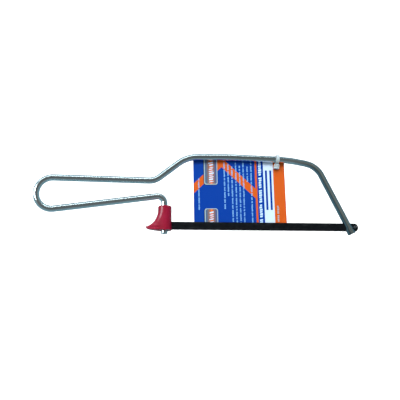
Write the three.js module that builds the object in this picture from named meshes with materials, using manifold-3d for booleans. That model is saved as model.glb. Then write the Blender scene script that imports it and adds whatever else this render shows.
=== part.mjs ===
// Wire-frame junior hacksaw with a pinned 150 mm blade and a display card tied to its bow.
//
// Millimetres, and the saw lies flat: X runs along the blade towards the front leg, Y from the
// blade towards the bow, and Z is up. Everything is drawn from the rear blade pin at 0, 0, 0.
// The last lines move the whole saw, so that its origin is under the middle of its box.

import * as THREE from 'three';
import { mergeVertices } from 'three/addons/utils/BufferGeometryUtils.js';
import Module from 'manifold-3d';

const wasm = await Module();
wasm.setup();

// ---- driving dimensions ----

// Frame wire: the corners of its centreline as x, y and bend radius, from the rear stub round
// the handle loop and over the bow to the front leg. Radius 0 is a plain point.
const WIRE_RADIUS = 2.5;
const WIRE_CORNERS = [
  [3.75, -6.2, 0], // cut end of the rear stub
  [3.75, 23.1, 5.2], // rear bend, stub to handle
  [-90.6, 10.2, 11.6], // lower corner of the handle loop
  [-92.54, 35.9, 12], // upper corner of the handle loop
  [-3.6, 34.4, 13], // foot of the step up to the bow
  [20.8, 53.5, 24], // head of the step
  [52, 54.1, 200], // crown of the bow
  [100, 52.7, 120], // the bow starts to fall
  [122.2, 48.3, 17], // front corner
  [147.8, -5.2, 0], // cut end of the front leg
];
const BEND_STEP = THREE.MathUtils.degToRad(10);

// The front leg's end is pressed wide and thin, then slotted for the blade and notched for its pin.
const SWAGE_LENGTH = 9;
const SWAGE_STATIONS = 4;
const SWAGE_WIDEN = 1.28;
const SWAGE_THIN = 0.9;
const SLOT_GAP = 1.0;
const FRONT_SLOT_LENGTH = 11;
const REAR_SLOT_TOP = 4.2;
const PIN_NOTCH_RADIUS = 1.25;

// Blade, with the teeth on the -Y side.
const PIN_SPAN = 150;
const BLADE_WIDTH = 6.35;
const BLADE_DROP = 0.175; // from the line between its pins to its own middle, towards the teeth
const BLADE_THICKNESS = 0.6;
const BLADE_OVERHANG = 2.8;
const TOOTH_PITCH = 0.8;
const TOOTH_DEPTH = 0.45;
const TOOTH_RAKE_SHARE = 0.2;
const TEETH_START = 4;
const TEETH_COUNT = 178;
const PIN_RADIUS = 1;
const PIN_LENGTH = 5;
const PIN_HOLE_RADIUS = 1.1;

// Collar: a round sleeve on the rear stub, flaring into a finger spur towards the handle.
const COLLAR_X = 4.1;
const COLLAR_RADIUS = 5.15;
const COLLAR_TOP = 14.7;
const COLLAR_BOTTOM = -3.7;
const COLLAR_BORE_RADIUS = 2.9;
const FLARE_TOP = 12;
const FLARE_HEIGHT = 13;
const FLARE_REACH = 11;
const SPUR_PROTRUSION = 9.1;
const SPUR_TIP_RADIUS = 2.2;
// Under the tip the spur's edge comes back to the sleeve: height, then share of the protrusion.
const SPUR_UNDERSIDE = [
  [-1.2, 1],
  [-2, 0.97],
  [-2.6, 0.9],
  [-3.1, 0.7],
  [-3.45, 0.4],
  [COLLAR_BOTTOM, 0.05],
];
const COLLAR_RINGS = 9;
const COLLAR_SIDES = 32;
const PIN_POCKET = { back: -1.35, top: 1.4, halfWidth: 2.8 };
const BLADE_POCKET = { radius: 3.5, halfWidth: 0.8 };

// Display card, a little turned on its tie, just under the wire.
const CARD_CENTRE = [61.85, 26.8];
const CARD_SIZE = [71.5, 54.5];
const CARD_THICKNESS = 0.5;
const CARD_TOP_Z = -2.8;
const CARD_TURN = THREE.MathUtils.degToRad(0.83);
const CARD_CORNER = 0.8;
const CARD_HOLE_RADIUS = 2;

// Cable tie, drawn across the wire: its own Y and Z are measured from the wire's centre.
const TIE_CENTRE = [91.3, 52.95];
const TIE_TURN = THREE.MathUtils.degToRad(-7);
const TIE_WIDTH = 2.5;
const TIE_THICKNESS = 0.9;
const TIE_HOLE_Y = -5.1;
const TIE_HEAD = { from: [-2, -7.5, -2.5], to: [2, -3.7, 0.9], chamfer: 0.5 };
// The strap lies on these rounds: y, z and radius. They are the wire, then the card's strip
// between hole and edge.
const TIE_ROUNDS = [
  [0, 0, WIRE_RADIUS + 0.3],
  [-3.2, -3.05, 0.75],
  [1.2, -3.05, 0.75],
];

// ---- helpers ----

function toSolid(geometry) {
  const bare = geometry.clone();
  bare.deleteAttribute('normal');
  bare.deleteAttribute('uv');
  const merged = mergeVertices(bare, 1e-4);
  return new wasm.Manifold(
    new wasm.Mesh({
      numProp: 3,
      vertProperties: new Float32Array(merged.attributes.position.array),
      triVerts: new Uint32Array(merged.index.array),
    })
  );
}

function toGeometry(solid) {
  const mesh = solid.getMesh();
  const geometry = new THREE.BufferGeometry();
  geometry.setAttribute('position', new THREE.BufferAttribute(mesh.vertProperties, 3));
  geometry.setIndex(new THREE.BufferAttribute(mesh.triVerts, 1));
  geometry.computeVertexNormals();
  return geometry;
}

function cut(geometry, cutters) {
  let solid = toSolid(geometry);
  for (const cutter of cutters) {
    solid = solid.subtract(toSolid(cutter));
  }
  return toGeometry(solid);
}

function join(first, second) {
  return toGeometry(toSolid(first).add(toSolid(second)));
}

function boxBetween(low, high) {
  const size = high.map((value, axis) => value - low[axis]);
  const middle = high.map((value, axis) => (value + low[axis]) / 2);
  return new THREE.BoxGeometry(...size).translate(...middle);
}

// A round bar along Z, centred on x, y, 0.
function barAlongZ(x, y, radius, length, sides = 24) {
  return new THREE.CylinderGeometry(radius, radius, length, sides).rotateX(Math.PI / 2).translate(x, y, 0);
}

function solidMesh(name, geometry, color, roughness, metalness) {
  const material = new THREE.MeshStandardMaterial({ color, roughness, metalness });
  const mesh = new THREE.Mesh(geometry, material);
  mesh.name = name;
  return mesh;
}

// ---- frame wire ----

// The stations of a centreline whose corners are rounded to their bend radii.
function bentStations(corners) {
  const places = corners.map(([x, y]) => new THREE.Vector3(x, y, 0));
  const stations = [];
  corners.forEach(([, , radius], i) => {
    const corner = places[i];
    if (radius === 0) {
      stations.push(corner);
      return;
    }
    const back = places[i - 1].clone().sub(corner).normalize();
    const ahead = places[i + 1].clone().sub(corner).normalize();
    const turn = Math.PI - back.angleTo(ahead);
    const side = Math.sign(ahead.x * back.y - ahead.y * back.x);
    const toCentre = back.clone().add(ahead).normalize();
    const centre = corner.clone().addScaledVector(toCentre, radius / Math.cos(turn / 2));
    const start = corner.clone().addScaledVector(back, radius * Math.tan(turn / 2)).sub(centre);
    const steps = Math.max(2, Math.ceil(turn / BEND_STEP));
    for (let k = 0; k <= steps; k++) {
      const spoke = start.clone().applyAxisAngle(new THREE.Vector3(0, 0, 1), (side * turn * k) / steps);
      stations.push(centre.clone().add(spoke));
    }
  });
  return stations;
}

// A curve through the stations, which puts one extrusion step at each of them.
class StationPath extends THREE.Curve {
  constructor(stations) {
    super();
    this.stations = stations;
  }

  getPoint(t, target = new THREE.Vector3()) {
    const place = t * (this.stations.length - 1);
    const i = Math.min(Math.floor(place), this.stations.length - 2);
    return target.lerpVectors(this.stations[i], this.stations[i + 1], place - i);
  }

  getUtoTmapping(u) {
    return u;
  }
}

const legEnd = new THREE.Vector3(...WIRE_CORNERS.at(-1).slice(0, 2), 0);
const legHead = new THREE.Vector3(...WIRE_CORNERS.at(-2).slice(0, 2), 0);
const legDown = legEnd.clone().sub(legHead).normalize();
const legAcross = new THREE.Vector3(-legDown.y, legDown.x, 0);

// Widens the leg across the frame and thins it in Z, more and more towards its end.
function swageLegEnd(geometry) {
  const positions = geometry.attributes.position;
  const point = new THREE.Vector3();
  for (let i = 0; i < positions.count; i++) {
    point.fromBufferAttribute(positions, i).sub(legEnd);
    const along = -point.dot(legDown);
    const across = point.dot(legAcross);
    if (along < SWAGE_LENGTH && Math.abs(across) < 2 * WIRE_RADIUS) {
      const share = THREE.MathUtils.smoothstep(SWAGE_LENGTH - along, 0, 0.7 * SWAGE_LENGTH);
      const wider = across * (SWAGE_WIDEN - 1) * share;
      point.addScaledVector(legAcross, wider);
      point.z *= 1 - (1 - SWAGE_THIN) * share;
      point.add(legEnd);
      positions.setXYZ(i, point.x, point.y, point.z);
    }
  }
}

function frameWire() {
  const stations = bentStations(WIRE_CORNERS);
  for (let k = SWAGE_STATIONS; k > 0; k--) {
    const back = (SWAGE_LENGTH * k) / SWAGE_STATIONS;
    stations.splice(-1, 0, legEnd.clone().addScaledVector(legDown, -back));
  }
  const section = new THREE.Shape().absarc(0, 0, WIRE_RADIUS, 0, 2 * Math.PI);
  const wire = new THREE.ExtrudeGeometry(section, {
    steps: stations.length - 1,
    extrudePath: new StationPath(stations),
    bevelEnabled: false,
    curveSegments: 8,
  });
  swageLegEnd(wire);

  const slotWidth = 4 * WIRE_RADIUS;
  const frontSlot = boxBetween(
    [-slotWidth / 2, 0, -SLOT_GAP / 2],
    [slotWidth / 2, FRONT_SLOT_LENGTH + 2, SLOT_GAP / 2]
  );
  frontSlot.rotateZ(Math.atan2(-legDown.x, legDown.y));
  const slotStart = legEnd.clone().addScaledVector(legDown, -FRONT_SLOT_LENGTH);
  frontSlot.translate(slotStart.x, slotStart.y, 0);

  const [stubX, stubY] = WIRE_CORNERS[0];
  const rearSlot = boxBetween(
    [stubX - slotWidth / 2, stubY - 1, -SLOT_GAP / 2],
    [stubX + slotWidth / 2, REAR_SLOT_TOP, SLOT_GAP / 2]
  );
  const pinNotch = barAlongZ(PIN_SPAN, 0, PIN_NOTCH_RADIUS, 4 * WIRE_RADIUS);
  return cut(wire, [frontSlot, rearSlot, pinNotch]);
}

// ---- blade and its pins ----

function bladeOutline() {
  const half = BLADE_WIDTH / 2;
  const tips = -BLADE_DROP - half;
  const outline = new THREE.Shape();
  outline.absellipse(0, -BLADE_DROP, BLADE_OVERHANG, half, Math.PI / 2, (3 * Math.PI) / 2);
  for (let tooth = 0; tooth < TEETH_COUNT; tooth++) {
    const x = TEETH_START + tooth * TOOTH_PITCH;
    outline.lineTo(x, tips);
    outline.lineTo(x + TOOTH_RAKE_SHARE * TOOTH_PITCH, tips + TOOTH_DEPTH);
  }
  outline.lineTo(TEETH_START + TEETH_COUNT * TOOTH_PITCH, tips);
  outline.absellipse(PIN_SPAN, -BLADE_DROP, BLADE_OVERHANG, half, -Math.PI / 2, Math.PI / 2);
  outline.closePath();
  for (const x of [0, PIN_SPAN]) {
    outline.holes.push(new THREE.Path().absarc(x, 0, PIN_HOLE_RADIUS, 0, 2 * Math.PI, true));
  }
  return outline;
}

function sawBlade() {
  return new THREE.ExtrudeGeometry(bladeOutline(), {
    depth: BLADE_THICKNESS,
    bevelEnabled: false,
    curveSegments: 10,
  }).translate(0, 0, -BLADE_THICKNESS / 2);
}

// ---- collar ----

// How far the finger spur stands out behind the sleeve at height y.
function spurProtrusion(y) {
  const drop = THREE.MathUtils.clamp((FLARE_TOP - y) / FLARE_HEIGHT, 0, 1);
  return Math.min(SPUR_PROTRUSION, FLARE_REACH * (1 - Math.sqrt(1 - drop * drop)));
}

// One level of the collar: the sleeve's circle and the spur's nose, wrapped by a taut line.
function collarRing(y, protrusion) {
  const share = protrusion / SPUR_PROTRUSION;
  const noseRadius = THREE.MathUtils.lerp(COLLAR_RADIUS, SPUR_TIP_RADIUS, share);
  const noseX = COLLAR_X - COLLAR_RADIUS - protrusion + noseRadius;
  const ring = [];
  for (let k = 0; k < COLLAR_SIDES; k++) {
    const angle = (2 * Math.PI * (k + 0.5)) / COLLAR_SIDES;
    const out = [Math.cos(angle), Math.sin(angle)];
    const onNose = noseX * out[0] + noseRadius > COLLAR_X * out[0] + COLLAR_RADIUS;
    const [x, radius] = onNose ? [noseX, noseRadius] : [COLLAR_X, COLLAR_RADIUS];
    ring.push([x + radius * out[0], y, radius * out[1]]);
  }
  return ring;
}

// A closed skin over rings of equal length, with a fan at each end.
function loft(rings) {
  const sides = rings[0].length;
  const positions = rings.flat(2);
  const triangles = [];
  for (let level = 0; level < rings.length - 1; level++) {
    for (let k = 0; k < sides; k++) {
      const a = level * sides + k;
      const b = level * sides + ((k + 1) % sides);
      triangles.push(a, b, a + sides, b, b + sides, a + sides);
    }
  }
  const last = (rings.length - 1) * sides;
  for (let k = 1; k < sides - 1; k++) {
    triangles.push(0, k + 1, k);
    triangles.push(last, last + k, last + k + 1);
  }
  const geometry = new THREE.BufferGeometry();
  geometry.setAttribute('position', new THREE.Float32BufferAttribute(positions, 3));
  geometry.setIndex(triangles);
  return geometry;
}

function bladeCollar() {
  const rings = [];
  for (let k = 0; k < COLLAR_RINGS; k++) {
    const y = THREE.MathUtils.lerp(COLLAR_TOP, -0.6, k / (COLLAR_RINGS - 1));
    rings.push(collarRing(y, spurProtrusion(y)));
  }
  for (const [y, share] of SPUR_UNDERSIDE) {
    rings.push(collarRing(y, share * SPUR_PROTRUSION));
  }

  const below = COLLAR_BOTTOM - 1;
  const stubX = WIRE_CORNERS[0][0];
  const boreLength = COLLAR_TOP - COLLAR_BOTTOM + 2;
  const bore = new THREE.CylinderGeometry(COLLAR_BORE_RADIUS, COLLAR_BORE_RADIUS, boreLength, 32);
  bore.translate(stubX, (COLLAR_TOP + COLLAR_BOTTOM) / 2, 0);
  const pinPocket = boxBetween(
    [PIN_POCKET.back, below, -PIN_POCKET.halfWidth],
    [stubX, PIN_POCKET.top, PIN_POCKET.halfWidth]
  );
  const bladeEndPocket = barAlongZ(0, 0, BLADE_POCKET.radius, 2 * BLADE_POCKET.halfWidth);
  const bladeSlot = boxBetween(
    [-BLADE_POCKET.radius + 0.3, below, -BLADE_POCKET.halfWidth],
    [COLLAR_X + COLLAR_RADIUS + 1, 0, BLADE_POCKET.halfWidth]
  );
  const bladeSlotTop = boxBetween(
    [0, -1, -BLADE_POCKET.halfWidth],
    [COLLAR_X + COLLAR_RADIUS + 1, BLADE_POCKET.radius, BLADE_POCKET.halfWidth]
  );
  return cut(loft(rings), [bore, pinPocket, bladeEndPocket, bladeSlot, bladeSlotTop]);
}

// ---- display card and cable tie ----

function roundedRectangle(width, height, corner) {
  const x = width / 2 - corner;
  const y = height / 2 - corner;
  const quarter = Math.PI / 2;
  return new THREE.Shape()
    .absarc(x, y, corner, 0, quarter)
    .absarc(-x, y, corner, quarter, 2 * quarter)
    .absarc(-x, -y, corner, 2 * quarter, 3 * quarter)
    .absarc(x, -y, corner, 3 * quarter, 4 * quarter);
}

function displayCard() {
  const outline = roundedRectangle(...CARD_SIZE, CARD_CORNER);
  const hole = new THREE.Vector2(0, TIE_HOLE_Y).rotateAround(new THREE.Vector2(), TIE_TURN);
  hole.add(new THREE.Vector2(...TIE_CENTRE)).sub(new THREE.Vector2(...CARD_CENTRE));
  hole.rotateAround(new THREE.Vector2(), -CARD_TURN);
  outline.holes.push(new THREE.Path().absarc(hole.x, hole.y, CARD_HOLE_RADIUS, 0, 2 * Math.PI, true));
  return new THREE.ExtrudeGeometry(outline, {
    depth: CARD_THICKNESS,
    bevelEnabled: false,
    curveSegments: 8,
  });
}

// The line of a band pulled tight round circles given in counter-clockwise order.
function bandAround(rounds, grow, path) {
  const touch = rounds.map(([x, y, radius], i) => {
    const [nextX, nextY, nextRadius] = rounds[(i + 1) % rounds.length];
    const heading = Math.atan2(nextY - y, nextX - x);
    return heading - Math.acos((radius - nextRadius) / Math.hypot(nextX - x, nextY - y));
  });
  rounds.forEach(([x, y, radius], i) => {
    const from = touch[(i + rounds.length - 1) % rounds.length];
    path.absarc(x, y, radius + grow, from, touch[i]);
  });
  path.closePath();
  return path;
}

function cableTie() {
  const strapOutline = bandAround(TIE_ROUNDS, TIE_THICKNESS, new THREE.Shape());
  strapOutline.holes.push(bandAround(TIE_ROUNDS, 0, new THREE.Path()));
  const strap = new THREE.ExtrudeGeometry(strapOutline, {
    depth: TIE_WIDTH,
    bevelEnabled: false,
    curveSegments: 8,
  }).translate(0, 0, -TIE_WIDTH / 2);
  const acrossWire = new THREE.Matrix4().makeBasis(
    new THREE.Vector3(0, 1, 0),
    new THREE.Vector3(0, 0, 1),
    new THREE.Vector3(1, 0, 0)
  );
  strap.applyMatrix4(acrossWire);

  const { from, to, chamfer } = TIE_HEAD;
  const headOutline = new THREE.Shape([
    new THREE.Vector2(from[1], from[2]),
    new THREE.Vector2(to[1], from[2]),
    new THREE.Vector2(to[1], to[2] - chamfer),
    new THREE.Vector2(to[1] - chamfer, to[2]),
    new THREE.Vector2(from[1] + chamfer, to[2]),
    new THREE.Vector2(from[1], to[2] - chamfer),
  ]);
  const head = new THREE.ExtrudeGeometry(headOutline, { depth: to[0] - from[0], bevelEnabled: false });
  head.translate(0, 0, from[0]).applyMatrix4(acrossWire);
  return join(strap, head);
}

// ---- assembly ----

const saw = new THREE.Group();
saw.add(solidMesh('frame_wire', frameWire(), 0xa9b4b8, 0.3, 1));
saw.add(solidMesh('saw_blade', sawBlade(), 0x16191b, 0.5, 0.6));
saw.add(solidMesh('front_blade_pin', barAlongZ(PIN_SPAN, 0, PIN_RADIUS, PIN_LENGTH), 0x55595c, 0.4, 1));
saw.add(solidMesh('rear_blade_pin', barAlongZ(0, 0, PIN_RADIUS, PIN_LENGTH), 0x55595c, 0.4, 1));
saw.add(solidMesh('blade_collar', bladeCollar(), 0xb81f3c, 0.45, 0));

const card = solidMesh('display_card', displayCard(), 0x0a4cb8, 0.5, 0);
card.position.set(...CARD_CENTRE, CARD_TOP_Z - CARD_THICKNESS);
card.rotation.z = CARD_TURN;
saw.add(card);

const tie = solidMesh('cable_tie', cableTie(), 0xdfe6e6, 0.4, 0);
tie.position.set(...TIE_CENTRE, 0);
tie.rotation.z = TIE_TURN;
saw.add(tie);

const box = new THREE.Box3().setFromObject(saw, true);
const middle = box.getCenter(new THREE.Vector3());
saw.position.set(-middle.x, -middle.y, -box.min.z);

export default saw;
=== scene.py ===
"""The looks of a wire-frame junior hacksaw: its wire, blade, collar, and the card tied to its bow.

Every shape is drawn in millimetres from the rear blade pin, with X towards the front leg, Y towards
the bow and Z up, as in the CAD. to_piece() brings it to metres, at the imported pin's own place.
"""

import math
import random

import bmesh
import bpy
from mathutils import Matrix, Vector


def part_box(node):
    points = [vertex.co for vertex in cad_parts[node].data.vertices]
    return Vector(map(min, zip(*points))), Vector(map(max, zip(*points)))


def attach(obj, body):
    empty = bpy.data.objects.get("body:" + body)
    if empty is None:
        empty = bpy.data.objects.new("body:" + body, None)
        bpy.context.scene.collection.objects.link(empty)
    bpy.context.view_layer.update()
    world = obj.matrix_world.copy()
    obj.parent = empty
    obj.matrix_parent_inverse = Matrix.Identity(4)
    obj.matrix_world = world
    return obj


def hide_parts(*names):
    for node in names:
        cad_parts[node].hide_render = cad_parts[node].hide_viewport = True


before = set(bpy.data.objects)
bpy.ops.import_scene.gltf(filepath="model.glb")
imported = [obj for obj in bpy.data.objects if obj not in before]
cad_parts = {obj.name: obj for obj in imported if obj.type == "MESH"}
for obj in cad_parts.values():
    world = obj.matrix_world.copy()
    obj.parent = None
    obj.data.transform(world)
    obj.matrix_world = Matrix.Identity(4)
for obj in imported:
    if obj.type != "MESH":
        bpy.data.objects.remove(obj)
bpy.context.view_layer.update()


def middle(node):
    low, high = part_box(node)
    return (low + high) / 2


REAR_PIN = middle("rear_blade_pin")
PIN_SPAN = (middle("front_blade_pin").x - REAR_PIN.x) * 1000
TO_ROW = Matrix.Translation(REAR_PIN) @ Matrix.Scale(0.001, 4)

# The wire's centreline: corner x, y and bend radius, from the rear stub to the front leg's end.
WIRE_RADIUS = 2.5
WIRE_CORNERS = [
    (3.75, -6.2, 0),
    (3.75, 23.1, 5.2),
    (-90.6, 10.2, 11.6),
    (-92.54, 35.9, 12),
    (-3.6, 34.4, 13),
    (20.8, 53.5, 24),
    (52, 54.1, 200),
    (100, 52.7, 120),
    (122.2, 48.3, 17),
    (147.8, -5.2, 0),
]
STUB_X = WIRE_CORNERS[0][0]
# How far along the wire its front leg starts, in centimetres: from corner to corner, less what the
# bends cut off.
CUT_OFF_BY_BENDS = 2.5
LEG_START = sum(math.dist(a[:2], b[:2]) for a, b in zip(WIRE_CORNERS, WIRE_CORNERS[1:-1])) / 10
LEG_START -= CUT_OFF_BY_BENDS
LEG_END = Vector((*WIRE_CORNERS[-1][:2], 0))
LEG_DOWN = (LEG_END - Vector((*WIRE_CORNERS[-2][:2], 0))).normalized()

# ---------------------------------------------------------------- materials

# The Mix node's sockets for colour.
MIX_FIRST, MIX_SECOND, MIX_RESULT = 6, 7, 2


class Nodes:
    """A material's node tree, with short calls to add and join nodes."""

    def __init__(self, name):
        self.material = bpy.data.materials.new(name)
        self.material.use_nodes = True
        self.tree = self.material.node_tree
        self.shader = next(n for n in self.tree.nodes if n.type == "BSDF_PRINCIPLED")

    def add(self, kind, **values):
        node = self.tree.nodes.new("ShaderNode" + kind)
        for key, value in values.items():
            setattr(node, key, value)
        return node

    def set(self, **values):
        for key, value in values.items():
            self.shader.inputs[key.replace("_", " ")].default_value = value

    def join(self, source, target):
        self.tree.links.new(source, target)

    def place(self, scale=(1, 1, 1), uv=None):
        """Object coordinates in metres, or a UV map's, stretched by scale."""
        if uv:
            source = self.add("UVMap", uv_map=uv).outputs["UV"]
        else:
            source = self.add("TexCoord").outputs["Object"]
        mapping = self.add("Mapping")
        mapping.inputs["Scale"].default_value = scale
        self.join(source, mapping.inputs["Vector"])
        return mapping.outputs["Vector"]

    def noise(self, vector, scale, detail=4, roughness=0.55):
        node = self.add("TexNoise")
        node.inputs["Scale"].default_value = scale
        node.inputs["Detail"].default_value = detail
        node.inputs["Roughness"].default_value = roughness
        self.join(vector, node.inputs["Vector"])
        return node.outputs["Fac"]

    def between(self, value, low, high, to_low=0.0, to_high=1.0):
        """value stretched from low..high to to_low..to_high, and held there."""
        node = self.add("MapRange")
        ends = {"From Min": low, "From Max": high, "To Min": to_low, "To Max": to_high}
        for key, number in ends.items():
            node.inputs[key].default_value = number
        self.join(value, node.inputs["Value"])
        return node.outputs["Result"]

    def mix(self, share, first, second):
        """A colour that goes from first to second, each a colour or a socket, as share goes 0 to 1."""
        node = self.add("Mix", data_type="RGBA")
        self.join(share, node.inputs["Factor"])
        for index, colour in ((MIX_FIRST, first), (MIX_SECOND, second)):
            if isinstance(colour, tuple):
                node.inputs[index].default_value = (*colour, 1)
            else:
                self.join(colour, node.inputs[index])
        return node.outputs[MIX_RESULT]

    def calculate(self, operation, *values):
        """The result of a math operation on values, each a float or a socket."""
        node = self.add("Math", operation=operation)
        for value, socket in zip(values, node.inputs):
            if isinstance(value, float):
                socket.default_value = value
            else:
                self.join(value, socket)
        return node.outputs[0]

    def parts(self, vector):
        node = self.add("SeparateXYZ")
        self.join(vector, node.inputs["Vector"])
        return node.outputs

    def bump(self, *heights):
        """Bumps the surface by (height socket, strength, distance in metres) layers."""
        below = None
        for height, strength, distance in heights:
            node = self.add("Bump")
            node.inputs["Strength"].default_value = strength
            node.inputs["Distance"].default_value = distance
            self.join(height, node.inputs["Height"])
            if below:
                self.join(below, node.inputs["Normal"])
            below = node.outputs["Normal"]
        self.join(below, self.shader.inputs["Normal"])

    def use(self, socket, name):
        self.join(socket, self.shader.inputs[name])


def leg_streaks_and_painted_light(m, fine, around):
    """The front leg's tone: a painted highlight along its middle, painted shade at its sides, and dark
    streaks.
    """
    side = m.calculate("COSINE", m.calculate("MULTIPLY", around, 4 * math.pi))
    # Painted highlight (pale) where the wire faces up and down, painted shade (dark) at its sides, by the
    # angle round the wire.
    painted_shading = m.mix(m.between(side, -0.97, -0.5), (0.80, 0.84, 0.80), (0.15, 0.25, 0.29))
    return m.mix(m.between(fine, 0.45, 0.62, 0, 0.5), painted_shading, (0.14, 0.21, 0.23))


def zinc_wire():
    """Bright zinc plate over drawn wire: lines along it, a cloudy tint, and a front leg with a painted
    highlight along its middle and painted shade at its sides.
    """
    m = Nodes("zinc_plated_wire")
    m.set(Metallic=1.0)
    fine = m.noise(m.place((0.5, 60, 1), uv="along"), 1.0, 3, 0.6)
    broad = m.noise(m.place((0.12, 14, 1), uv="along"), 1.0, 2)
    cloud = m.noise(m.place(), 90, 3)
    grime = m.noise(m.place(), 900, 2)
    tint = m.mix(m.between(cloud, 0.3, 0.7), (0.60, 0.66, 0.68), (0.71, 0.75, 0.75))
    streaked = m.mix(m.between(broad, 0.48, 0.66, 0, 0.3), tint, (0.30, 0.38, 0.41))
    plated = m.mix(m.between(fine, 0.6, 0.75, 0, 0.2), streaked, (0.30, 0.35, 0.37))
    along = m.parts(m.add("UVMap", uv_map="along").outputs["UV"])
    on_leg = m.between(along["X"], LEG_START - 1.2, LEG_START + 0.8, 0, 0.9)
    # Along the front leg the plate gives way to painted highlight, painted shade and dark streaks.
    m.use(m.mix(on_leg, plated, leg_streaks_and_painted_light(m, fine, along["Y"])), "Base Color")
    m.use(m.between(fine, 0.3, 0.7, 0.15, 0.21), "Roughness")
    m.bump((fine, 0.04, 0.00003), (grime, 0.04, 0.00002))
    return m.material


def blade_paint():
    """Black paint, worn to steel at the tooth tips."""
    m = Nodes("blade_black_paint")
    m.set(Specular_IOR_Level=0.09)
    place = m.place()
    mottle = m.noise(place, 420, 4)
    rolled = m.noise(m.place((40, 900, 900)), 1.0, 4)
    height = m.parts(m.add("TexCoord").outputs["Object"])["Y"]
    tip_y = REAR_PIN.y + (TOOTH_TIPS + 0.1) / 1000
    edge = m.between(height, tip_y, tip_y + 0.00025, 1, 0)
    worn = m.calculate("MULTIPLY", edge, m.between(m.noise(place, 1500, 2), 0.45, 0.6))
    scuff = m.between(m.noise(m.place((60, 420, 420)), 1.0, 4), 0.6, 0.75, 0, 0.5)
    black = m.mix(m.between(mottle, 0.35, 0.7), (0.0015, 0.002, 0.003), (0.004, 0.005, 0.006))
    black = m.mix(scuff, black, (0.040, 0.043, 0.046))
    m.use(m.mix(worn, black, (0.32, 0.33, 0.34)), "Base Color")
    m.use(worn, "Metallic")
    m.use(m.between(rolled, 0.3, 0.7, 0.38, 0.56), "Roughness")
    m.bump((rolled, 0.1, 0.00003), (mottle, 0.15, 0.00003))
    return m.material


def pin_steel():
    m = Nodes("pin_steel")
    m.set(Metallic=1.0)
    cloud = m.noise(m.place(), 1600, 3)
    m.use(m.mix(m.between(cloud, 0.35, 0.65), (0.07, 0.075, 0.08), (0.3, 0.31, 0.32)), "Base Color")
    m.use(m.between(cloud, 0.3, 0.7, 0.25, 0.5), "Roughness")
    m.bump((cloud, 0.15, 0.00002))
    return m.material


def red_plastic():
    """Moulded red plastic with flow marks and a few specks of dirt."""
    m = Nodes("red_moulded_plastic")
    m.set(Specular_IOR_Level=0.34, Subsurface_Weight=0.05, Subsurface_Scale=0.001)
    place = m.place()
    flow = m.noise(m.place((120, 45, 120)), 1.0, 2)
    speck = m.between(m.noise(place, 1100, 0), 0.79, 0.82)
    grain = m.noise(place, 3800, 2)
    red = m.mix(m.between(flow, 0.3, 0.7), (0.150, 0.001, 0.012), (0.205, 0.002, 0.022))
    m.use(m.mix(speck, red, (0.12, 0.004, 0.012)), "Base Color")
    m.use(m.between(flow, 0.3, 0.7, 0.20, 0.26), "Roughness")
    m.bump((grain, 0.12, 0.00003))
    return m.material


def ink(name, colour, gloss=0.4, fleck=0.02):
    """Printed colour on coated card, with a slight fleck where the board's fibres show."""
    m = Nodes(name)
    m.set(Specular_IOR_Level=0.05)
    place = m.place()
    fibre = m.noise(place, 2600, 3)
    cloud = m.noise(place, 60, 2)
    light = tuple(c + (0.8 - c) * fleck for c in colour)
    deep = tuple(c * (1 - fleck) for c in colour)
    flat = m.mix(m.between(cloud, 0.3, 0.7), deep, colour)
    m.use(m.mix(m.between(fibre, 0.62, 0.8), flat, light), "Base Color")
    m.use(m.between(cloud, 0.3, 0.7, gloss - 0.04, gloss + 0.06), "Roughness")
    m.bump((fibre, 0.05, 0.00002))
    return m.material


def badge_gradient():
    """The badge's brown field, brightening to orange along its middle, by the mesh's own colours."""
    m = Nodes("ink_badge")
    colours = m.add("VertexColor", layer_name="shade")
    fibre = m.noise(m.place(), 2600, 3)
    fleck = m.between(fibre, 0.6, 0.9, 0, 0.2)
    m.use(m.mix(fleck, colours.outputs["Color"], (0.4, 0.3, 0.25)), "Base Color")
    m.set(Roughness=0.42, Specular_IOR_Level=0.1)
    m.bump((fibre, 0.05, 0.00002))
    return m.material


def nylon():
    """Natural nylon: milky, with a faint bloom."""
    m = Nodes("natural_nylon")
    m.set(Subsurface_Weight=0.25, Subsurface_Scale=0.0008)
    cloud = m.noise(m.place(), 700, 3)
    m.use(m.mix(m.between(cloud, 0.3, 0.7), (0.27, 0.31, 0.33), (0.36, 0.40, 0.42)), "Base Color")
    m.use(m.between(cloud, 0.3, 0.7, 0.32, 0.45), "Roughness")
    m.bump((m.noise(m.place(), 3000, 2), 0.08, 0.00002))
    return m.material


PALE_GLOW = 0.8


def floor_paint():
    m = Nodes("pale_floor")
    cloud = m.noise(m.place(), 4, 2)
    m.use(m.mix(cloud, (0.50, 0.50, 0.50), (0.52, 0.52, 0.52)), "Base Color")
    m.set(Roughness=0.9, Specular_IOR_Level=0.0)
    m.set(Emission_Color=(1, 1, 1, 1), Emission_Strength=PALE_GLOW)
    return m.material


# ---------------------------------------------------------------- mesh helpers


def mesh_object(name, bm, materials=()):
    """The object of a finished bmesh, which is freed."""
    mesh = bpy.data.meshes.new(name)
    bm.to_mesh(mesh)
    bm.free()
    for material in materials:
        mesh.materials.append(material)
    thing = bpy.data.objects.new(name, mesh)
    bpy.context.scene.collection.objects.link(thing)
    return thing


def to_piece(name, bm, materials, body, replaces=(), smooth_angle=35):
    """Makes the finished object of a mesh drawn in saw millimetres, riding on its body."""
    bmesh.ops.recalc_face_normals(bm, faces=bm.faces)
    piece = mesh_object(name, bm, materials)
    piece.data.transform(TO_ROW)
    piece.data.shade_smooth()
    piece.data.set_sharp_from_angle(angle=math.radians(smooth_angle))
    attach(piece, body)
    if replaces:
        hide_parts(*replaces)


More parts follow.
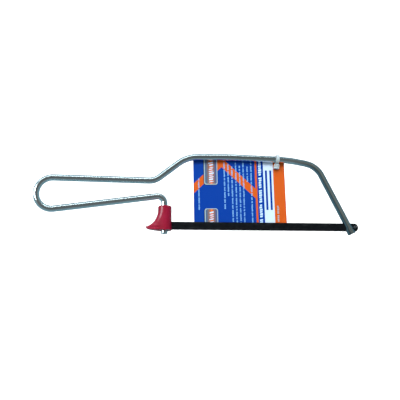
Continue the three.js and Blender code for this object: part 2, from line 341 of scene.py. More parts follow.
def skin(bm, rings, closed=False):
    """Faces between rings of vertices, with a cap at both ends unless the rings close on themselves."""
    sides = len(rings[0])
    pairs = list(zip(rings, rings[1:]))
    if closed:
        pairs.append((rings[-1], rings[0]))
    faces = []
    for lower, upper in pairs:
        for k in range(sides):
            after = (k + 1) % sides
            faces.append(bm.faces.new((lower[k], lower[after], upper[after], upper[k])))
    if not closed:
        bm.faces.new(rings[0][::-1])
        bm.faces.new(rings[-1])
    return faces


def ring_of(bm, points):
    return [bm.verts.new(p) for p in points]


def scratch_object(name, bm):
    bmesh.ops.recalc_face_normals(bm, faces=bm.faces)
    return mesh_object(name, bm)


def cut_away(bm, *cutters):
    """bm less the cutters, each a bmesh. Returns a new bmesh."""
    body = scratch_object("scratch_body", bm)
    tools = [scratch_object("scratch_tool", cutter) for cutter in cutters]
    for tool in tools:
        step = body.modifiers.new("cut", "BOOLEAN")
        step.operation = "DIFFERENCE"
        step.solver = "EXACT"
        step.object = tool
    bpy.context.view_layer.update()
    result = bmesh.new()
    result.from_mesh(body.evaluated_get(bpy.context.evaluated_depsgraph_get()).to_mesh())
    for thing in (body, *tools):
        mesh = thing.data
        bpy.data.objects.remove(thing)
        bpy.data.meshes.remove(mesh)
    return result


def block(low, high, turn=None):
    """A box between two corners, turned by a matrix if one is given."""
    bm = bmesh.new()
    bmesh.ops.create_cube(bm, size=1)
    low, high = Vector(low), Vector(high)
    stretch = Matrix.Diagonal((*(high - low), 1))
    bmesh.ops.transform(bm, matrix=Matrix.Translation((low + high) / 2) @ stretch, verts=bm.verts)
    if turn:
        bmesh.ops.transform(bm, matrix=turn, verts=bm.verts)
    return bm


def round_bar(centre, axis, radius, length, sides=64, chamfer=0.0):
    """A round bar, with chamfered ends if chamfer is given."""
    half = length / 2
    levels = [(-half, radius), (half, radius)]
    if chamfer:
        levels = [(chamfer - half, radius), (half - chamfer, radius)]
        levels = [(-half, radius - chamfer), *levels, (half, radius - chamfer)]
    bm = bmesh.new()
    turn = Vector(axis).to_track_quat("Z", "Y").to_matrix()
    rings = []
    for z, r in levels:
        angles = [2 * math.pi * k / sides for k in range(sides)]
        points = [Vector(centre) + turn @ Vector((r * math.cos(a), r * math.sin(a), z)) for a in angles]
        rings.append(ring_of(bm, points))
    skin(bm, rings)
    return bm


def smoothstep(value, low, high):
    share = min(1, max(0, (value - low) / (high - low)))
    return share * share * (3 - 2 * share)


# ---------------------------------------------------------------- frame wire

BEND_STEP = math.radians(3)
STRAIGHT_STEP = 5
WIRE_SIDES = 48
SWAGE_LENGTH = 6.4
SWAGE_RAMP = 2.2
SWAGE_WIDEN = 1.26
SWAGE_THIN = 0.9
SLOT_GAP = 1.0
FRONT_SLOT_LENGTH = 11
REAR_SLOT_TOP = 4.2
PIN_NOTCH_RADIUS = 1.25
SWAGE_STEPS = 5
SWAGE_STATIONS = (2.8, 1.4, 0.5, 0)
LEG_SIDE_X = 130
BEND_FLATTENING = 0.3
CUT_EDGE = 0.35
CUT_REACH = 5


def bent_line(corners):
    """Points along the wire as (place, bend radius or 0), with every corner rounded."""
    places = [Vector((x, y, 0)) for x, y, _ in corners]
    line = [(places[0], 0)]
    for i in range(1, len(corners) - 1):
        radius = corners[i][2]
        back = (places[i - 1] - places[i]).normalized()
        ahead = (places[i + 1] - places[i]).normalized()
        turn = math.pi - back.angle(ahead)
        centre = places[i] + (back + ahead).normalized() * radius / math.cos(turn / 2)
        spoke = places[i] + back * radius * math.tan(turn / 2) - centre
        side = math.copysign(1, ahead.x * back.y - ahead.y * back.x)
        steps = max(2, math.ceil(turn / BEND_STEP))
        for k in range(steps + 1):
            line.append((centre + Matrix.Rotation(side * turn * k / steps, 3, "Z") @ spoke, radius))
    line.append((places[-1], 0))
    filled = []
    for (start, first), (end, second) in zip(line, line[1:]):
        pieces = max(1, math.ceil((end - start).length / STRAIGHT_STEP))
        for k in range(pieces):
            bend = first if k == 0 else 0
            filled.append((start.lerp(end, k / pieces), bend))
    filled.append(line[-1])
    return filled


def wire_ring(bm, line, i, shrink=0.0, shift=0.0):
    """One ring of the wire at station i. Tight bends press it a little flat."""
    place, bend = line[i]
    before = line[max(i - 1, 0)][0]
    after = line[min(i + 1, len(line) - 1)][0]
    ahead = (after - before).normalized()
    across = Vector((-ahead.y, ahead.x, 0))
    flat = BEND_FLATTENING / bend if bend else 0
    wide = (WIRE_RADIUS - shrink) * (1 - flat)
    high = (WIRE_RADIUS - shrink) * (1 + flat / 4)
    to_end = (LEG_END - place).dot(LEG_DOWN)
    if place.x > LEG_SIDE_X and to_end < SWAGE_LENGTH:
        share = smoothstep(SWAGE_LENGTH - to_end, 0, SWAGE_RAMP)
        wide *= 1 + (SWAGE_WIDEN - 1) * share
        high *= 1 - (1 - SWAGE_THIN) * share
    points = []
    for k in range(WIRE_SIDES):
        angle = 2 * math.pi * k / WIRE_SIDES
        offset = across * wide * math.cos(angle) + Vector((0, 0, high * math.sin(angle)))
        points.append(place + ahead * shift + offset)
    return ring_of(bm, points)


def with_swage(line):
    """The line with closer stations along the front leg's swaged end."""
    start = SWAGE_LENGTH + 0.5
    kept = [s for s in line if (LEG_END - s[0]).dot(LEG_DOWN) > start or s[0].x < LEG_SIDE_X]
    ramp = [SWAGE_LENGTH - SWAGE_RAMP * k / SWAGE_STEPS for k in range(SWAGE_STEPS + 1)]
    return kept + [(LEG_END - LEG_DOWN * back, 0) for back in (*ramp, *SWAGE_STATIONS)]


def wire_rings(bm, line):
    """The wire's rings, with a small chamfer round both cut ends."""
    rings = [wire_ring(bm, line, 0, shrink=CUT_EDGE)]
    line[0] = (line[0][0] + Vector((0, CUT_EDGE, 0)), 0)
    last = len(line) - 1
    for i in range(last):
        rings.append(wire_ring(bm, line, i))
    rings.append(wire_ring(bm, line, last, shift=-CUT_EDGE))
    rings.append(wire_ring(bm, line, last, shrink=CUT_EDGE))
    return rings


def map_along(uv, rings, faces):
    """Maps the wire by centimetres along it and the share of a turn round it."""
    sums = [sum((v.co for v in ring), Vector()) for ring in rings]
    lengths = [0.0]
    for lower, upper in zip(sums, sums[1:]):
        lengths.append(lengths[-1] + (upper - lower).length / WIRE_SIDES)
    for index, face in enumerate(faces):
        level, k = divmod(index, WIRE_SIDES)
        corners = ((level, k), (level, k + 1), (level + 1, k + 1), (level + 1, k))
        for loop, (ring, side) in zip(face.loops, corners):
            loop[uv].uv = (lengths[ring] / 10, side / WIRE_SIDES)


def wire_slots():
    """Cutters for the blade's slot in each end, and for the notch that holds the front pin."""
    lean = Matrix.Rotation(math.atan2(-LEG_DOWN.x, LEG_DOWN.y), 4, "Z")
    half = SLOT_GAP / 2
    stub_end = WIRE_CORNERS[0][1]
    front_low, front_high = (-CUT_REACH, -FRONT_SLOT_LENGTH, -half), (CUT_REACH, 1, half)
    rear_low = (STUB_X - CUT_REACH, stub_end - 1, -half)
    rear_high = (STUB_X + CUT_REACH, REAR_SLOT_TOP, half)
    return [
        block(front_low, front_high, Matrix.Translation(LEG_END) @ lean),
        block(rear_low, rear_high),
        round_bar((PIN_SPAN, 0, 0), (0, 0, 1), PIN_NOTCH_RADIUS, 2 * CUT_REACH),
    ]


def frame_wire():
    bm = bmesh.new()
    uv = bm.loops.layers.uv.new("along")
    rings = wire_rings(bm, with_swage(bent_line(WIRE_CORNERS)))
    map_along(uv, rings, skin(bm, rings))
    wire = cut_away(bm, *wire_slots())
    to_piece("frame_wire_plated", wire, [zinc_wire()], "frame", ["frame_wire"])


# ---------------------------------------------------------------- blade and pins

BLADE_BACK = 3.0
TOOTH_TIPS = -3.35
BLADE_OVERHANG = 2.8
BLADE_THICKNESS = 0.6
TOOTH_PITCH = 0.8
TOOTH_DEPTH = 0.45
TEETH_START = 4
TEETH_COUNT = 178
RIPPLE_TEETH = 9
RIPPLE_SWING = 0.17
RIPPLE_TOP = -1.3
RIPPLE_DEPTH = 1.7
RIPPLE_FADE = 6
RAKE_SHARE = 0.2
BLADE_EDGE = 0.08
END_STEPS = 9
LEVEL_SHARES = (0.7, 0.32, 0.22, 0.12)
PIN_HOLE_RADIUS = 1.03
PIN_RADIUS = 1.0
PIN_LENGTH = 5.0
PIN_CHAMFER = 0.18


def blade_columns():
    """Each column of the blade as (x, top y, bottom y)."""
    middle_y = (BLADE_BACK + TOOTH_TIPS) / 2
    half = (BLADE_BACK - TOOTH_TIPS) / 2
    end = []
    for k in range(1, END_STEPS + 1):
        angle = math.pi / 2 * k / END_STEPS
        rise = half * math.sin(angle)
        end.append((-BLADE_OVERHANG * math.cos(angle), middle_y + rise, middle_y - rise))
    columns = end + [(1.5, BLADE_BACK, TOOTH_TIPS)]
    for tooth in range(TEETH_COUNT):
        x = TEETH_START + tooth * TOOTH_PITCH
        columns.append((x, BLADE_BACK, TOOTH_TIPS))
        columns.append((x + RAKE_SHARE * TOOTH_PITCH, BLADE_BACK, TOOTH_TIPS + TOOTH_DEPTH))
    columns.append((TEETH_START + TEETH_COUNT * TOOTH_PITCH, BLADE_BACK, TOOTH_TIPS))
    return columns + [(PIN_SPAN - x, top, low) for x, top, low in reversed(end)]


def ripple(x, y):
    """How far the toothed edge waves out of the blade's plane."""
    from_end = min(x, PIN_SPAN - x)
    share = smoothstep(from_end, TEETH_START, TEETH_START + RIPPLE_FADE)
    share *= smoothstep(RIPPLE_TOP - y, 0, RIPPLE_DEPTH)
    return RIPPLE_SWING * share * math.sin(2 * math.pi * x / (RIPPLE_TEETH * TOOTH_PITCH))


def saw_blade():
    bm = bmesh.new()
    half = BLADE_THICKNESS / 2
    rings = []
    for x, top, low in blade_columns():
        levels = [top - BLADE_EDGE]
        levels += [low + share * (top - low) for share in LEVEL_SHARES]
        levels.append(low)
        front = [(x, top, half - BLADE_EDGE)] + [(x, y, half) for y in levels]
        back = [(px, py, -pz) for px, py, pz in reversed(front)]
        rings.append(ring_of(bm, [(px, py, pz + ripple(px, py)) for px, py, pz in front + back]))
    skin(bm, rings)
    holes = [round_bar((x, 0, 0), (0, 0, 1), PIN_HOLE_RADIUS, 4) for x in (0, PIN_SPAN)]
    blade = cut_away(bm, *holes)
    to_piece("saw_blade_toothed", blade, [blade_paint()], "blade", ["saw_blade"], 30)


def blade_pins():
    steel = pin_steel()
    pins = (("rear_pin_turned", "rear_blade_pin", 0), ("front_pin_turned", "front_blade_pin", PIN_SPAN))
    for name, node, x in pins:
        pin = round_bar((x, 0, 0), (0, 0, 1), PIN_RADIUS, PIN_LENGTH, 40, PIN_CHAMFER)
        to_piece(name, pin, [steel], "blade", [node])


# ---------------------------------------------------------------- collar

COLLAR_X = 4.1
COLLAR_RADIUS = 5.15
COLLAR_TOP = 14.7
COLLAR_BOTTOM = -3.7
FLARE_TOP = 12
FLARE_HEIGHT = 13
FLARE_REACH = 11
SPUR_REACH = 9.1
SPUR_TIP_RADIUS = 2.2
RIM_CHAMFER = (0.42, 0.75)
BEAD_HEIGHT = 1.1
BEAD_SWELL = 0.22
DIMPLE_PLACE = (-3.4, -1.6, 4.0)
DIMPLE_SIZE = (3.1, 1.15, 0.9)
SPUR_EDGE = -0.75
# The spur's rounded underside: height, and the share of its full reach there.
SPUR_UNDERSIDE = [
    (SPUR_EDGE, 1),
    (-1.2, 1),
    (-2, 0.97),
    (-2.6, 0.9),
    (-3.1, 0.7),
    (-3.45, 0.4),
    (COLLAR_BOTTOM, 0.05),
]
COLLAR_SIDES = 120
COLLAR_LEVELS = 46
COLLAR_LIP = 0.2
COLLAR_SOFT = 0.12
BORE_RADIUS = 2.85
# Pockets in the collar, open below: for the rear pin, and for the blade's end and its body.
POCKET_FLOOR = -6
POCKET_FRONT = 11
PIN_POCKET = {"back": -1.35, "top": 1.4, "half_width": 2.8}
BLADE_POCKET = {"back": -3.2, "top": 3.48, "radius": 3.5, "half_width": 0.8}


def spur_reach(y):
    """How far the finger spur stands out behind the sleeve at height y."""
    if y > SPUR_EDGE:
        drop = min(1, max(0, (FLARE_TOP - y) / FLARE_HEIGHT))
        return min(SPUR_REACH, FLARE_REACH * (1 - math.sqrt(1 - drop * drop)))
    for (high, first), (low, second) in zip(SPUR_UNDERSIDE, SPUR_UNDERSIDE[1:]):
        if y >= low:
            return SPUR_REACH * (first + (second - first) * (high - y) / (high - low))
    return SPUR_REACH * SPUR_UNDERSIDE[-1][1]


def collar_ring(bm, y, inset=0.0):
    """One level: the sleeve's circle and the spur's nose, wrapped by a taut line."""
    reach = spur_reach(y)
    share = reach / SPUR_REACH
    from_bead = (y - COLLAR_BOTTOM - BEAD_HEIGHT / 2) / (BEAD_HEIGHT / 2)
    bead = BEAD_SWELL * math.exp(-(from_bead**2))
    nose_radius = COLLAR_RADIUS + (SPUR_TIP_RADIUS - COLLAR_RADIUS) * share
    nose_x = COLLAR_X - COLLAR_RADIUS - reach + nose_radius
    points = []
    for k in range(COLLAR_SIDES):
        angle = 2 * math.pi * (k + 0.5) / COLLAR_SIDES
        x, z = math.cos(angle), math.sin(angle)
        on_nose = nose_x * x + nose_radius > COLLAR_X * x + COLLAR_RADIUS
        centre, radius = (nose_x, nose_radius) if on_nose else (COLLAR_X, COLLAR_RADIUS)
        radius += bead * (1 - share) - inset
        points.append((centre + radius * x, y, radius * z))
    return ring_of(bm, points)


def dimple(side):
    """An ellipsoid to hollow the spur's flank on one side, 1 or -1."""
    bm = bmesh.new()
    bmesh.ops.create_uvsphere(bm, u_segments=40, v_segments=24, radius=1)
    x, y, z = DIMPLE_PLACE
    place = Matrix.Translation((x, y, z * side)) @ Matrix.Diagonal((*DIMPLE_SIZE, 1))
    bmesh.ops.transform(bm, matrix=place, verts=bm.verts)
    return bm


def collar_cutters():
    """The bore for the stub, the pockets for the pin and the blade, and a dimple on each side."""
    pin, blade = PIN_POCKET, BLADE_POCKET
    wide, thin = pin["half_width"], blade["half_width"]
    return [
        round_bar((STUB_X, (COLLAR_TOP + COLLAR_BOTTOM) / 2, 0), (0, 1, 0), BORE_RADIUS, 24),
        block((pin["back"], POCKET_FLOOR, -wide), (STUB_X, pin["top"], wide)),
        round_bar((0, 0, 0), (0, 0, 1), blade["radius"], 2 * thin),
        block((blade["back"], POCKET_FLOOR, -thin), (POCKET_FRONT, 0.02, thin)),
        block((0, -1, -thin - 0.01), (POCKET_FRONT, blade["top"], thin + 0.01)),
        dimple(1),
        dimple(-1),
    ]


def blade_collar():
    bm = bmesh.new()
    inset, drop = RIM_CHAMFER
    shoulder = COLLAR_TOP - drop
    rings = [
        collar_ring(bm, COLLAR_TOP, inset + COLLAR_SOFT),
        collar_ring(bm, COLLAR_TOP - COLLAR_SOFT, inset),
        collar_ring(bm, shoulder + COLLAR_SOFT, COLLAR_SOFT),
    ]
    bottom = COLLAR_BOTTOM + COLLAR_LIP
    for k in range(COLLAR_LEVELS + 1):
        rings.append(collar_ring(bm, shoulder + (bottom - shoulder) * k / COLLAR_LEVELS))
    rings.append(collar_ring(bm, COLLAR_BOTTOM, COLLAR_LIP))
    skin(bm, rings)
    collar = cut_away(bm, *collar_cutters())
    plastic = [red_plastic()]
    to_piece("blade_collar_moulded", collar, plastic, "collar", ["blade_collar"], 40)


# ---------------------------------------------------------------- display card

CARD_CENTRE = Vector((61.85, 26.8, 0))
CARD_WIDTH = 71.5
CARD_HEIGHT = 54.5
CARD_THICKNESS = 0.45
CARD_FACE_Z = -2.85
CARD_TURN = math.radians(0.83)
CARD_HOLE_RADIUS = 2
TIE_CENTRE = Vector((91.3, 52.95, 0))
TIE_TURN = math.radians(-7)
TIE_HOLE_Y = -5.1
INK_DEPTH = 0.012

# From the card's lower left corner.
CARD_TO_SAW = (
    Matrix.Translation(CARD_CENTRE + Vector((0, 0, CARD_FACE_Z)))
    @ Matrix.Rotation(CARD_TURN, 4, "Z")
    @ Matrix.Translation((-CARD_WIDTH / 2, -CARD_HEIGHT / 2, 0))
)

# The print, in millimetres from the card's lower left corner.
PRINT_MARGIN = 0.15
CHEVRON = {"apex": (22.0, 47.5), "slope": 0.955, "depth": 7.7}
STRIPE = (48.0, 49.5)
TITLE = (50.6, 53.1)
PALE_BAND = (54.6, 62.4)
# Two plain stripes along the pale band, in place of any mark.
BAND_STRIPES = ((56.0, 57.6), (59.4, 61.0))
BAND_STRIPE_SPAN = (13.5, 45)
# Each badge's left, right, low and high edges, and the top of its first bar.
BADGES = (
    (8.3, 18.7, 33.5, 54.2, 51.6),
    (8.2, 18.4, 0.4, 14.9, 12.6),
)
# Each line of blocks that stands in for print: its x, and its low and high ends.
PRINT_LINES = (
    (24.1, 14.4, 51),
    (27.0, 23.8, 50),
    (30.0, 4, 48),
    (33.0, 2, 51),
    (36.0, 3, 48.6),
    (38.9, 2, 51),
    (42.0, 35.6, 48),
    (45.0, 2, 51),
    (4.1, 13.6, 38.3),
)
SMALL_LINE = (65.1, 2.0, 16.8)
# Across a badge's field: slate, through brown to orange just right of its middle, then navy.
BADGE_STOPS = (
    (0.0, (0.04, 0.08, 0.16)),
    (0.12, (0.05, 0.08, 0.13)),
    (0.26, (0.13, 0.09, 0.085)),
    (0.42, (0.30, 0.085, 0.035)),
    (0.5, (0.55, 0.105, 0.02)),
    (0.58, (0.50, 0.10, 0.02)),
    (0.66, (0.22, 0.08, 0.05)),
    (0.8, (0.10, 0.075, 0.09)),
    (0.92, (0.03, 0.05, 0.14)),
    (1.0, (0.06, 0.11, 0.22)),
)
# The order of the print's inks.
ORANGE, PALE, DARK, TEXT, BADGE, FRAME_TONE, TITLE_TONE, NAVY = range(8)
# The order of the board's papers.
BOARD_FACE, BOARD_EDGE, BOARD_BACK = range(3)


def card_hole():
    """The centre of the tie's hole, in card millimetres."""
    spot = TIE_CENTRE + Matrix.Rotation(TIE_TURN, 3, "Z") @ Vector((0, TIE_HOLE_Y, 0))
    return CARD_TO_SAW.inverted() @ Vector((spot.x, spot.y, CARD_FACE_Z))


def outline_prism(bm, outline, low, high, material):
    """A prism of an outline in card millimetres."""
    bottom = [bm.verts.new((x, y, low)) for x, y in outline]
    top = [bm.verts.new((x, y, high)) for x, y in outline]
    faces = [bm.faces.new(bottom[::-1]), bm.faces.new(top)]
    for k in range(len(outline)):
        after = (k + 1) % len(outline)
        faces.append(bm.faces.new((bottom[k], bottom[after], top[after], top[k])))
    for face in faces:
        face.material_index = material
    return faces


def rounded(left, right, low, high, corner, steps=6):
    """The outline of a rectangle with round corners, counter-clockwise."""
    x_low, x_high = left + corner, right - corner
    y_low, y_high = low + corner, high - corner
    centres = ((x_high, y_high), (x_low, y_high), (x_low, y_low), (x_high, y_low))
    points = []
    for quarter, (cx, cy) in enumerate(centres):
        for k in range(steps + 1):
            angle = math.pi / 2 * (quarter + k / steps)
            points.append((cx + corner * math.cos(angle), cy + corner * math.sin(angle)))
    return points


def strip(left, right, low, high):
    return [(left, low), (right, low), (right, high), (left, high)]


def card_board():
    bm = bmesh.new()
    outline_prism(bm, rounded(0, CARD_WIDTH, 0, CARD_HEIGHT, 0.6), -CARD_THICKNESS, 0, BOARD_EDGE)
    spot = card_hole()
    board = cut_away(bm, round_bar((spot.x, spot.y, 0), (0, 0, 1), CARD_HOLE_RADIUS, 3, 48))
    for face in board.faces:
        if face.normal.z > 0.9:
            face.material_index = BOARD_FACE
        elif face.normal.z < -0.9:
            face.material_index = BOARD_BACK
        else:
            face.material_index = BOARD_EDGE
    bmesh.ops.transform(board, matrix=CARD_TO_SAW, verts=board.verts)
    papers = [
        ink("ink_blue", (0.000, 0.027, 0.205), fleck=0.004),
        ink("paper_edge", (0.50, 0.495, 0.47), 0.7),
        ink("paper_back", (0.46, 0.45, 0.42), 0.75, 0.12),
    ]
    to_piece("display_card_board", board, papers, "card", ["display_card"], 20)


def block_line(
    bm, x, low, high, width, tone, rng, tall=(0.42, 0.72), group=(2, 8), gaps=(0.22, 0.75), slant=0.0
):
    """Unreadable stand-ins for a line of print: short blocks, with a gap after each and each group."""
    y = high
    while y > low:
        for _ in range(rng.randint(*group)):
            height = rng.uniform(*tall)
            if y - height < low:
                return
            left = x - width * rng.uniform(0.32, 0.5)
            right = x + width * rng.uniform(0.30, 0.5)
            outline = [(left, y - height - slant), (right, y - height), (right, y), (left, y - slant)]
            outline_prism(bm, outline, 0, 2.2 * INK_DEPTH, tone)
            y -= height + gaps[0]
        y -= gaps[1]


def badge_field(bm, shade, left, right, low, high):
    """A badge's inside, as strips between the stops of its gradient, with cut corners."""
    corner = 1.0
    for (start, first), (end, second) in zip(BADGE_STOPS, BADGE_STOPS[1:]):
        a = left + (right - left) * start
        b = left + (right - left) * end
        trim_a = corner if start == 0 else 0
        trim_b = corner if end == 1 else 0
        outline = [(a, low + trim_a), (b, low + trim_b), (b, high - trim_b), (a, high - trim_a)]
        for face in outline_prism(bm, outline, 0, 2.5 * INK_DEPTH, BADGE):
            for loop in face.loops:
                tone = first if abs(loop.vert.co.x - a) < 0.01 else second
                loop[shade] = (*tone, 1)


def badge_bars(bm, centre, low, high, rng):
    """Slanted pale bars with dark shadows, as stand-ins for a badge's large characters."""
    slant = 0.7
    y = high
    while y > low:
        tall = rng.choice((0.6, 0.8, 1.1))
        left, right = centre - rng.uniform(1.2, 2.1), centre + rng.uniform(1.2, 2.1)
        for tone, drop, level in ((DARK, 0.12, 3), (TITLE_TONE, 0, 3.5)):
            bar = [
                (left - drop, y - tall - slant - drop),
                (right - drop, y - tall - drop),
                (right - drop, y - drop),
                (left - drop, y - slant - drop),
            ]
            outline_prism(bm, bar, 0, level * INK_DEPTH, tone)
        y -= tall + rng.uniform(0.7, 1.3)


def colour_areas(bm, low, top):
    """The chevron, the thin stripe, the pale band and the orange edge."""
    apex_x, apex_y = CHEVRON["apex"]
    slope, depth = CHEVRON["slope"], CHEVRON["depth"]
    left, right = PRINT_MARGIN, STRIPE[0]
    crest = apex_x + (apex_y + depth - top) / slope
    chevron = [
        (left, apex_y - slope * (apex_x - left)),
        (apex_x, apex_y),
        (right, apex_y - slope * (right - apex_x)),
        (right, apex_y + depth - slope * (right - apex_x)),
        (crest, top),
        (2 * apex_x - crest, top),
        (left, apex_y + depth - slope * (apex_x - left)),
    ]
    outline_prism(bm, chevron, 0, INK_DEPTH, ORANGE)
    outline_prism(bm, strip(*STRIPE, low, top), 0, INK_DEPTH, ORANGE)
    outline_prism(bm, strip(*PALE_BAND, low, top), 0, INK_DEPTH, PALE)
    outline_prism(bm, strip(PALE_BAND[1], CARD_WIDTH - PRINT_MARGIN, low, top), 0, INK_DEPTH, ORANGE)


def badges(bm, rng):
    shade = bm.loops.layers.float_color.new("shade")
    for left, right, low, high, first_bar in BADGES:
        shadow = rounded(left - 0.45, right - 0.3, low - 0.5, high, 1.9)
        outline_prism(bm, shadow, 0, 1.5 * INK_DEPTH, DARK)
        outline_prism(bm, rounded(left, right, low, high, 1.7), 0, 2 * INK_DEPTH, FRAME_TONE)
        badge_field(bm, shade, left + 0.75, right - 0.6, low + 0.7, high - 0.6)
        badge_bars(bm, (left + right) / 2 + 0.3, low + 2.2, first_bar, rng)


def card_print():
    """The printed areas, in layers of ink on the board's blue."""
    rng = random.Random(7)
    bm = bmesh.new()
    low, top = PRINT_MARGIN, CARD_HEIGHT - PRINT_MARGIN
    colour_areas(bm, low, top)
    badges(bm, rng)
    for x, line_low, line_high in PRINT_LINES:
        block_line(bm, x, line_low, min(line_high, top - 1), 1.25, TEXT, rng)
    title_x = sum(TITLE) / 2
    block_line(bm, title_x, 1.2, top - 1.5, 2.5, TITLE_TONE, rng, (1.1, 1.6), (5, 7), (0.4, 1.2), 0.45)
    small_x, small_low, small_high = SMALL_LINE
    block_line(bm, small_x, small_low, small_high, 1.5, FRAME_TONE, rng, (0.8, 1.2), (3, 5), (0.35, 0.9))
    for left, right in BAND_STRIPES:
        outline_prism(bm, rounded(left, right, *BAND_STRIPE_SPAN, 0.45, 3), 0, 2 * INK_DEPTH, NAVY)
    bmesh.ops.transform(bm, matrix=CARD_TO_SAW, verts=bm.verts)
    inks = [
        ink("ink_orange", (0.39, 0.066, 0.008)),
        ink("ink_pale", (0.39, 0.49, 0.60)),
        ink("ink_dark", (0.004, 0.007, 0.02)),
        ink("ink_text", (0.13, 0.29, 0.50)),
        badge_gradient(),
        ink("ink_frame", (0.21, 0.28, 0.31)),
        ink("ink_title", (0.34, 0.48, 0.62)),
        ink("ink_navy", (0.000, 0.025, 0.20)),
    ]
    to_piece("display_card_print", bm, inks, "card", smooth_angle=20)


# ---------------------------------------------------------------- cable tie

TIE_WIDTH = 2.5
TIE_THICKNESS = 0.9
TIE_ROUNDS = [(0, 0, WIRE_RADIUS + 0.3), (-3.2, -3.05, 0.75), (1.2, -3.05, 0.75)]
TIE_EDGE = 0.15
TIE_RIB = 0.1
TIE_RIB_EVERY = 4
# Each between two corners: the head, its window over the tail, the gap at its pawl, and the tail.
TIE_HEAD = ((-2, -7.5, -2.45), (2, -3.7, 0.88))
TIE_WINDOW = ((-1.5, -5.85, 0.3), (1.5, -4.35, 1.5))
TIE_PAWL_GAP = ((-1.0, -8.0, -1.2), (1.0, -6.6, 0.1))
TIE_TAIL = ((-1.2, -5.6, 0.31), (1.2, -4.6, 0.8))
TIE_TO_SAW = Matrix.Translation(TIE_CENTRE) @ Matrix.Rotation(TIE_TURN, 4, "Z")


def band_line(rounds, grow, step=0.12):
    """Points and outward directions along a band pulled tight round circles, counter-clockwise."""
    touch = []
    for i, (x, y, radius) in enumerate(rounds):
        next_x, next_y, next_radius = rounds[(i + 1) % len(rounds)]
        heading = math.atan2(next_y - y, next_x - x)
        touch.append(heading - math.acos((radius - next_radius) / math.hypot(next_x - x, next_y - y)))
    line = []
    for i, (x, y, radius) in enumerate(rounds):
        start = touch[i - 1]
        sweep = (touch[i] - start) % (2 * math.pi)
        steps = max(3, math.ceil(sweep * (radius + grow) / step / 3))
        for k in range(steps + 1):
            a = start + sweep * k / steps
            out = Vector((math.cos(a), math.sin(a)))
            line.append((Vector((x, y)) + out * (radius + grow), out))
    filled = []
    for i, (place, out) in enumerate(line):
        following, _ = line[(i + 1) % len(line)]
        pieces = max(1, math.ceil((following - place).length / (step * 2)))
        for k in range(pieces):
            filled.append((place.lerp(following, k / pieces), out))
    return filled


def strap_section(ribbed):
    """The strap's section as (across, outward), with rounded edges and a ribbed track inside."""
    half, thick, soft = TIE_WIDTH / 2, TIE_THICKNESS / 2, TIE_EDGE
    track = TIE_RIB - thick if ribbed else -thick
    right = [
        (half - soft, thick),
        (half, thick - soft),
        (half, soft - thick),
        (half - soft, -thick),
        (0.62 * half, -thick),
        (0.55 * half, track),
    ]
    left = [(-across, outward) for across, outward in reversed(right)]
    return [left[-1], *right, *left[:-1]]


def to_tie_piece(name, bm, material, replaces=()):
    """Makes the finished object of a mesh drawn round the tie's own centre."""
    bmesh.ops.transform(bm, matrix=TIE_TO_SAW, verts=bm.verts)
    to_piece(name, bm, [material], "card", replaces, 35)


def tie_strap(material):
    bm = bmesh.new()
    rings = []
    for i, (place, out) in enumerate(band_line(TIE_ROUNDS, TIE_THICKNESS / 2)):
        points = []
        for across, outward in strap_section(i % TIE_RIB_EVERY < TIE_RIB_EVERY / 2):
            spot = place + out * outward
            points.append((across, spot.x, spot.y))
        rings.append(ring_of(bm, points))
    skin(bm, rings, closed=True)
    to_tie_piece("cable_tie_strap", bm, material, ["cable_tie"])


def tie_head(material):
    """The head, with a window over the tail and a gap at its pawl."""
    head = block(*TIE_HEAD)
    corners = head.edges[:] + head.verts[:]
    bmesh.ops.bevel(head, geom=corners, offset=0.5, segments=4, profile=0.6, affect="EDGES")
    head = cut_away(head, block(*TIE_WINDOW), block(*TIE_PAWL_GAP))
    to_tie_piece("cable_tie_head", head, material)


def tie_tail(material):
    """The trimmed end of the strap, in the head's window."""
    tail = block(*TIE_TAIL)
    corners = tail.edges[:] + tail.verts[:]
    bmesh.ops.bevel(tail, geom=corners, offset=0.1, segments=2, affect="EDGES")
    to_tie_piece("cable_tie_tail", tail, material)


def cable_tie():
    white = nylon()
    tie_strap(white)
    tie_head(white)
    tie_tail(white)


# ---------------------------------------------------------------- stage

# The stage, in metres. The floor is low enough for the card to swing down over it.
FLOOR_Z = -0.07
FLOOR_HALF = 4
WALL_RADIUS = 5.5
SHADE_HALF = 3.5
# The camera: its distance in metres, its optics and its target in millimetres, its tilt in degrees.
CAMERA_DISTANCE = 0.4557
CAMERA_LENS = 54
CAMERA_SENSOR = 36
CAMERA_TARGET = (30.74, 19.93, 0)
CAMERA_TILT = {"towards_teeth": 12, "towards_handle": 5, "roll": -0.27}
# The room's colour by how high the look is, from the horizon to straight up.
ROOM = [
    (0.0, (0.17, 0.31, 0.38)),
    (0.3, (0.24, 0.37, 0.42)),
    (0.55, (0.20, 0.26, 0.27)),
    (0.8, (0.155, 0.172, 0.175)),
    (1.0, (0.14, 0.155, 0.157)),
]


def softbox(name, place, size, power, colour=(1, 1, 1), in_gloss=True):
    """A softbox at place, turned to the saw. in_gloss says if shiny pieces mirror it."""
    light = bpy.data.lights.new(name, "AREA")
    light.shape = "RECTANGLE"
    light.size, light.size_y = size
    light.energy = power
    light.color = colour
    lamp = bpy.data.objects.new(name, light)
    lamp.location = place
    lamp.rotation_mode = "QUATERNION"
    lamp.rotation_quaternion = (-Vector(place)).to_track_quat("-Z", "Y")
    lamp.visible_glossy = in_gloss
    bpy.context.scene.collection.objects.link(lamp)


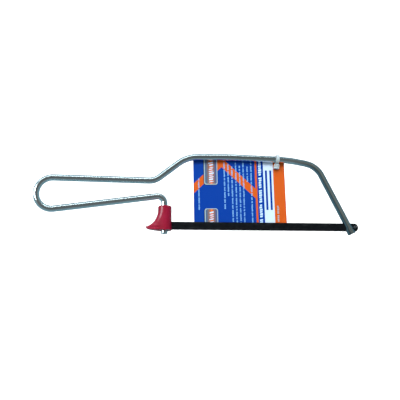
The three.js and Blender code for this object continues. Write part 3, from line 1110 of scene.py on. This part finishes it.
def studio():
    """A soft room, palest low down, lit from above, with two softboxes that shiny pieces mirror."""
    world = bpy.data.worlds.new("studio")
    world.use_nodes = True
    bpy.context.scene.world = world
    tree = world.node_tree
    direction = tree.nodes.new("ShaderNodeTexCoord")
    parts = tree.nodes.new("ShaderNodeSeparateXYZ")
    ramp = tree.nodes.new("ShaderNodeValToRGB")
    tree.links.new(direction.outputs["Generated"], parts.inputs["Vector"])
    tree.links.new(parts.outputs["Z"], ramp.inputs["Fac"])
    tree.links.new(ramp.outputs["Color"], tree.nodes["Background"].inputs["Color"])
    stops = ramp.color_ramp.elements
    for height, colour in ROOM[1:-1]:
        stops.new(height)
    for stop, (height, colour) in zip(stops, ROOM):
        stop.position = height
        stop.color = (*colour, 1)
    softbox("key", (-0.15, 0.6, 0.95), (1.8, 0.3), 18, in_gloss=False)
    softbox("fill", (0.1, 0.1, 1.1), (1.2, 1.2), 9, in_gloss=False)
    softbox("back_strip", (-0.3, 0.95, 0.62), (1.22, 0.2), 4.0, (0.84, 0.96, 1.0))
    softbox("left", (-0.82, 0.22, 0.6), (0.4, 0.6), 7.5, (0.9, 0.95, 1.0))
    bpy.context.scene.view_settings.view_transform = "Standard"


def stage_plane(name, half_size, height, material):
    """A level square at a height, as part of the stage."""
    bm = bmesh.new()
    bmesh.ops.create_grid(bm, x_segments=1, y_segments=1, size=half_size)
    plane = mesh_object(name, bm, [material])
    plane.location.z = height
    return plane


def shade_card():
    """A dim card over the floor that only gloss sees, so that shiny edges stay dark on the pale floor."""
    m = Nodes("shade_card")
    m.set(Base_Color=(0.15, 0.25, 0.29, 1), Roughness=1.0, Specular_IOR_Level=0.0)
    card = stage_plane("shade_card", SHADE_HALF, FLOOR_Z + 0.001, m.material)
    card.visible_camera = False
    card.visible_diffuse = False
    card.visible_shadow = False
    card.visible_transmission = False


def floor():
    """A pale floor, and far round it a pale wall that only the camera sees."""
    stage_plane("floor", FLOOR_HALF, FLOOR_Z, floor_paint())
    wall = Nodes("pale_wall")
    wall.set(Base_Color=(0, 0, 0, 1), Specular_IOR_Level=0, Emission_Strength=1.0)
    wall.set(Emission_Color=(1, 1, 1, 1))
    bm = bmesh.new()
    bmesh.ops.create_uvsphere(bm, u_segments=48, v_segments=24, radius=WALL_RADIUS)
    dome = mesh_object("wall", bm, [wall.material])
    dome.visible_diffuse = False
    dome.visible_glossy = False
    dome.visible_transmission = False
    dome.visible_shadow = False


def camera():
    data = bpy.data.cameras.new("view")
    data.lens = CAMERA_LENS
    data.sensor_width = CAMERA_SENSOR
    data.clip_start = 0.01
    lean_x = -math.tan(math.radians(CAMERA_TILT["towards_handle"]))
    lean_y = -math.tan(math.radians(CAMERA_TILT["towards_teeth"]))
    back = Vector((lean_x, lean_y, 1)).normalized()
    right = Vector((0, 1, 0)).cross(back).normalized()
    right = Matrix.Rotation(math.radians(CAMERA_TILT["roll"]), 3, back) @ right
    up = back.cross(right)
    place = TO_ROW @ Vector(CAMERA_TARGET) + back * CAMERA_DISTANCE
    eye = bpy.data.objects.new("view", data)
    eye.matrix_world = Matrix.Translation(place) @ Matrix((right, up, back)).transposed().to_4x4()
    bpy.context.scene.collection.objects.link(eye)
    bpy.context.scene.camera = eye


camera()
studio()
floor()
shade_card()
frame_wire()
saw_blade()
blade_pins()
blade_collar()
card_board()
card_print()
cable_tie()
